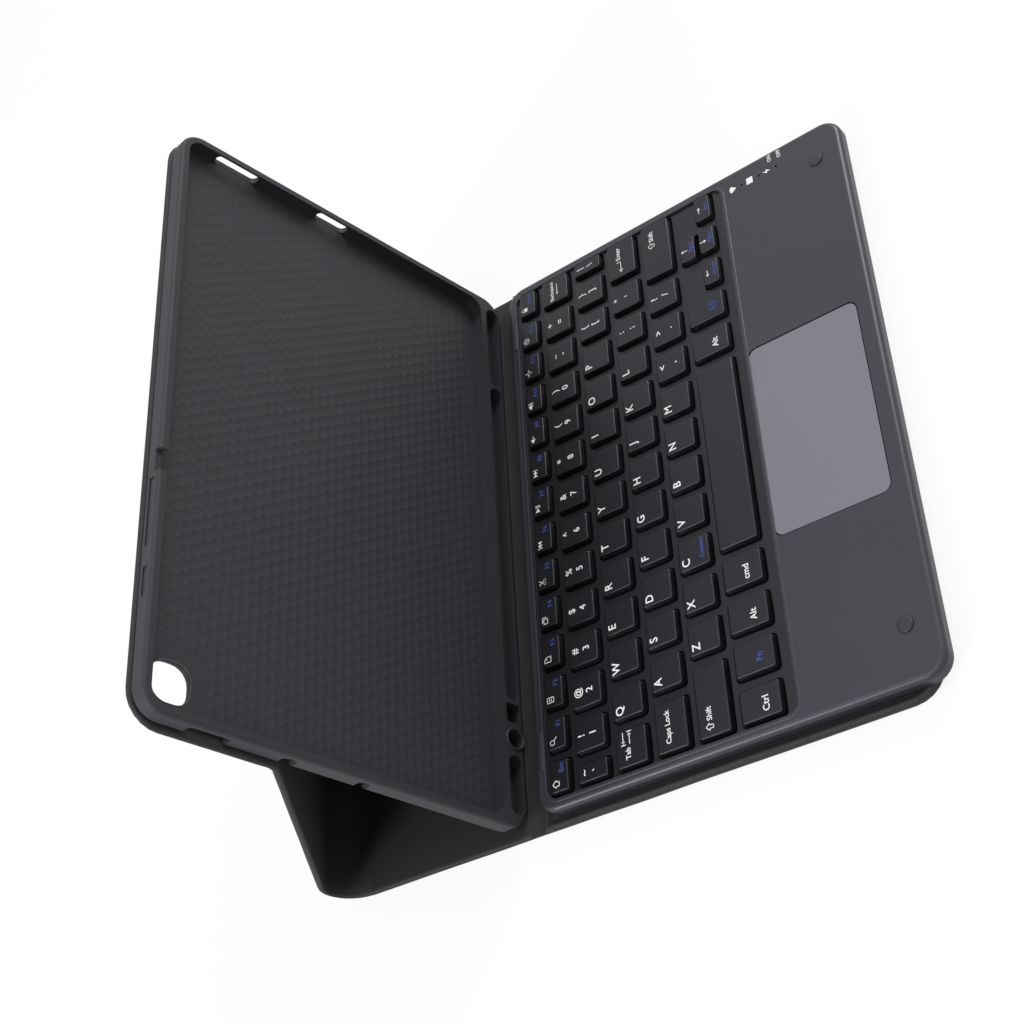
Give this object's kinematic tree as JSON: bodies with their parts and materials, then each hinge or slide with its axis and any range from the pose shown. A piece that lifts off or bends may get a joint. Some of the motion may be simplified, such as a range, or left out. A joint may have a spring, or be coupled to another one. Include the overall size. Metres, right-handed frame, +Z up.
{
  "type": "tablet keyboard case",
  "caption": "Folio case for a tablet: a soft tray with a pen channel stands on a folding flap behind a slim keyboard with a touchpad, all on one leather-grained cover.",
  "frame": {"origin": "middle of the part's box, on the table under the cover", "axes": "+X to the user's right, +Y from the user towards the tray, +Z up"},
  "size_m": [0.2542, 0.2676, 0.1698],
  "materials": {
    "cover_skin": "fine grain, dull",
    "cover_lining": "smooth suede",
    "stiffener": "pressed board",
    "fold_leather": "fine grain, dull",
    "tray_tpu": "matt moulded",
    "case_abs": "satin moulded",
    "keycap_abs": "fine matt",
    "steel": "rolled",
    "membrane_film": "clear film",
    "rubber": "moulded",
    "board": "solder mask",
    "battery_pouch": "foil",
    "switch_plastic": "moulded",
    "light_pipe": "smoked",
    "touchpad_sheet": "fine matt"
  },
  "bodies": {
    "base": {"rear_panel_skin": "cover_skin", "rear_panel_board": "stiffener", "rear_panel_lining": "cover_lining", "front_fold_strip": "fold_leather", "rear_fold_strip": "fold_leather"},
    "front_cover": {"front_panel_skin": "cover_skin", "front_panel_board": "stiffener", "front_panel_lining": "cover_lining", "bottom_case": "case_abs", "top_case": "case_abs", "key_plate": "steel", "membrane": "membrane_film", "dome_sheet": "rubber", "ribbon_cable": "board", "main_board": "board", "battery": "battery_pouch", "charging_port": "steel", "power_switch_body": "switch_plastic", "light_pipes": "light_pipe", "palm_bumpers": "rubber", "rear_stop_pads": "rubber", "case_screws": "steel", "touchpad_bracket": "switch_plastic", "touchpad_switch": "switch_plastic"},
    "stand_flap": {"stand_flap_skin": "cover_skin", "stand_flap_board": "stiffener", "stand_flap_lining": "cover_lining", "tray_fold_strip": "fold_leather"},
    "tray": {"tablet_tray": "tray_tpu", "back_panel_skin": "cover_skin", "back_panel_board": "stiffener", "back_panel_lining": "cover_lining"},
    "touchpad": {"touchpad_plate": "touchpad_sheet", "touchpad_board": "board"},
    "power_knob": {"power_switch_knob": "switch_plastic"},
    "key_tab": {"key_tab": "keycap_abs"},
    "key_caps_lock": {"key_caps_lock": "keycap_abs"},
    "key_shift_left": {"key_shift_left": "keycap_abs"},
    "key_shift_right": {"key_shift_right": "keycap_abs"},
    "key_ctrl": {"key_ctrl": "keycap_abs"},
    "key_fn": {"key_fn": "keycap_abs"},
    "key_alt_left": {"key_alt_left": "keycap_abs"},
    "key_command": {"key_command": "keycap_abs"},
    "key_space": {"key_space": "keycap_abs"},
    "key_alt_right": {"key_alt_right": "keycap_abs"},
    "key_input": {"key_input": "keycap_abs"},
    "key_arrow_left": {"key_arrow_left": "keycap_abs"},
    "key_arrow_up": {"key_arrow_up": "keycap_abs"},
    "key_arrow_down": {"key_arrow_down": "keycap_abs"},
    "key_arrow_right": {"key_arrow_right": "keycap_abs"},
    "key_enter": {"key_enter": "keycap_abs"},
    "key_backspace": {"key_backspace": "keycap_abs"},
    "key_backslash": {"key_backslash": "keycap_abs"},
    "key_backquote": {"key_backquote": "keycap_abs"},
    "keys_function_row": {"keys_function_row": "keycap_abs"},
    "keys_number_row": {"keys_number_row": "keycap_abs"},
    "keys_q_row": {"keys_q_row": "keycap_abs"},
    "keys_a_row": {"keys_a_row": "keycap_abs"},
    "keys_z_row": {"keys_z_row": "keycap_abs"}
  },
  "joints": [
    {"name": "front_fold", "type": "hinge", "parent": "base", "child": "front_cover", "pos_m": [0, 0.03695, 0.00125], "axis": [-1, 0, 0], "range_deg": [0, 60], "deforming": ["front_fold_strip"]},
    {"name": "stand_fold", "type": "hinge", "parent": "base", "child": "stand_flap", "pos_m": [0, 0.1342, 0.00654], "axis": [-1, 0, 0], "range_deg": [0, 123.5], "deforming": ["rear_fold_strip"]},
    {"name": "tray_fold", "type": "hinge", "parent": "stand_flap", "child": "tray", "pos_m": [0, 0.06427, 0.11142], "axis": [1, 0, 0], "range_deg": [0, 43.5], "deforming": ["tray_fold_strip"]},
    {"name": "touchpad_click", "type": "hinge", "parent": "front_cover", "child": "touchpad", "pos_m": [-0.009, -0.0803, 0.0073], "axis": [1, 0, 0], "range_deg": [0, 0.6], "stiffness_Nm_per_rad": 6, "springref_deg": -0.29},
    {"name": "power_slide", "type": "slide", "parent": "front_cover", "child": "power_knob", "axis": [0, 1, 0], "range_m": [0, 0.0025]},
    {"name": "tab_press", "type": "slide", "parent": "front_cover", "child": "key_tab", "axis": [0, 0, -1], "range_m": [0, 0.0014], "stiffness_N_per_m": 400, "springref_m": -0.001},
    {"name": "caps_lock_press", "type": "slide", "parent": "front_cover", "child": "key_caps_lock", "axis": [0, 0, -1], "range_m": [0, 0.0014], "stiffness_N_per_m": 400, "springref_m": -0.001},
    {"name": "shift_left_press", "type": "slide", "parent": "front_cover", "child": "key_shift_left", "axis": [0, 0, -1], "range_m": [0, 0.0014], "stiffness_N_per_m": 400, "springref_m": -0.001},
    {"name": "shift_right_press", "type": "slide", "parent": "front_cover", "child": "key_shift_right", "axis": [0, 0, -1], "range_m": [0, 0.0014], "stiffness_N_per_m": 400, "springref_m": -0.001},
    {"name": "ctrl_press", "type": "slide", "parent": "front_cover", "child": "key_ctrl", "axis": [0, 0, -1], "range_m": [0, 0.0014], "stiffness_N_per_m": 400, "springref_m": -0.001},
    {"name": "fn_press", "type": "slide", "parent": "front_cover", "child": "key_fn", "axis": [0, 0, -1], "range_m": [0, 0.0014], "stiffness_N_per_m": 400, "springref_m": -0.001},
    {"name": "alt_left_press", "type": "slide", "parent": "front_cover", "child": "key_alt_left", "axis": [0, 0, -1], "range_m": [0, 0.0014], "stiffness_N_per_m": 400, "springref_m": -0.001},
    {"name": "command_press", "type": "slide", "parent": "front_cover", "child": "key_command", "axis": [0, 0, -1], "range_m": [0, 0.0014], "stiffness_N_per_m": 400, "springref_m": -0.001},
    {"name": "space_press", "type": "slide", "parent": "front_cover", "child": "key_space", "axis": [0, 0, -1], "range_m": [0, 0.0014], "stiffness_N_per_m": 400, "springref_m": -0.001},
    {"name": "alt_right_press", "type": "slide", "parent": "front_cover", "child": "key_alt_right", "axis": [0, 0, -1], "range_m": [0, 0.0014], "stiffness_N_per_m": 400, "springref_m": -0.001},
    {"name": "input_press", "type": "slide", "parent": "front_cover", "child": "key_input", "axis": [0, 0, -1], "range_m": [0, 0.0014], "stiffness_N_per_m": 400, "springref_m": -0.001},
    {"name": "arrow_left_press", "type": "slide", "parent": "front_cover", "child": "key_arrow_left", "axis": [0, 0, -1], "range_m": [0, 0.0014], "stiffness_N_per_m": 400, "springref_m": -0.001},
    {"name": "arrow_up_press", "type": "slide", "parent": "front_cover", "child": "key_arrow_up", "axis": [0, 0, -1], "range_m": [0, 0.0014], "stiffness_N_per_m": 400, "springref_m": -0.001},
    {"name": "arrow_down_press", "type": "slide", "parent": "front_cover", "child": "key_arrow_down", "axis": [0, 0, -1], "range_m": [0, 0.0014], "stiffness_N_per_m": 400, "springref_m": -0.001},
    {"name": "arrow_right_press", "type": "slide", "parent": "front_cover", "child": "key_arrow_right", "axis": [0, 0, -1], "range_m": [0, 0.0014], "stiffness_N_per_m": 400, "springref_m": -0.001},
    {"name": "enter_press", "type": "slide", "parent": "front_cover", "child": "key_enter", "axis": [0, 0, -1], "range_m": [0, 0.0014], "stiffness_N_per_m": 400, "springref_m": -0.001},
    {"name": "backspace_press", "type": "slide", "parent": "front_cover", "child": "key_backspace", "axis": [0, 0, -1], "range_m": [0, 0.0014], "stiffness_N_per_m": 400, "springref_m": -0.001},
    {"name": "backslash_press", "type": "slide", "parent": "front_cover", "child": "key_backslash", "axis": [0, 0, -1], "range_m": [0, 0.0014], "stiffness_N_per_m": 400, "springref_m": -0.001},
    {"name": "backquote_press", "type": "slide", "parent": "front_cover", "child": "key_backquote", "axis": [0, 0, -1], "range_m": [0, 0.0014], "stiffness_N_per_m": 400, "springref_m": -0.001},
    {"name": "function_row_press", "type": "slide", "parent": "front_cover", "child": "keys_function_row", "axis": [0, 0, -1], "range_m": [0, 0.0014], "stiffness_N_per_m": 5600, "springref_m": -0.001},
    {"name": "number_row_press", "type": "slide", "parent": "front_cover", "child": "keys_number_row", "axis": [0, 0, -1], "range_m": [0, 0.0014], "stiffness_N_per_m": 4800, "springref_m": -0.001},
    {"name": "q_row_press", "type": "slide", "parent": "front_cover", "child": "keys_q_row", "axis": [0, 0, -1], "range_m": [0, 0.0014], "stiffness_N_per_m": 4800, "springref_m": -0.001},
    {"name": "a_row_press", "type": "slide", "parent": "front_cover", "child": "keys_a_row", "axis": [0, 0, -1], "range_m": [0, 0.0014], "stiffness_N_per_m": 4400, "springref_m": -0.001},
    {"name": "z_row_press", "type": "slide", "parent": "front_cover", "child": "keys_z_row", "axis": [0, 0, -1], "range_m": [0, 0.0014], "stiffness_N_per_m": 4000, "springref_m": -0.001}
  ],
  "couplings": [
    {"joint": "tray_fold", "follows": "stand_fold", "ratio": 0.34971}
  ]
}
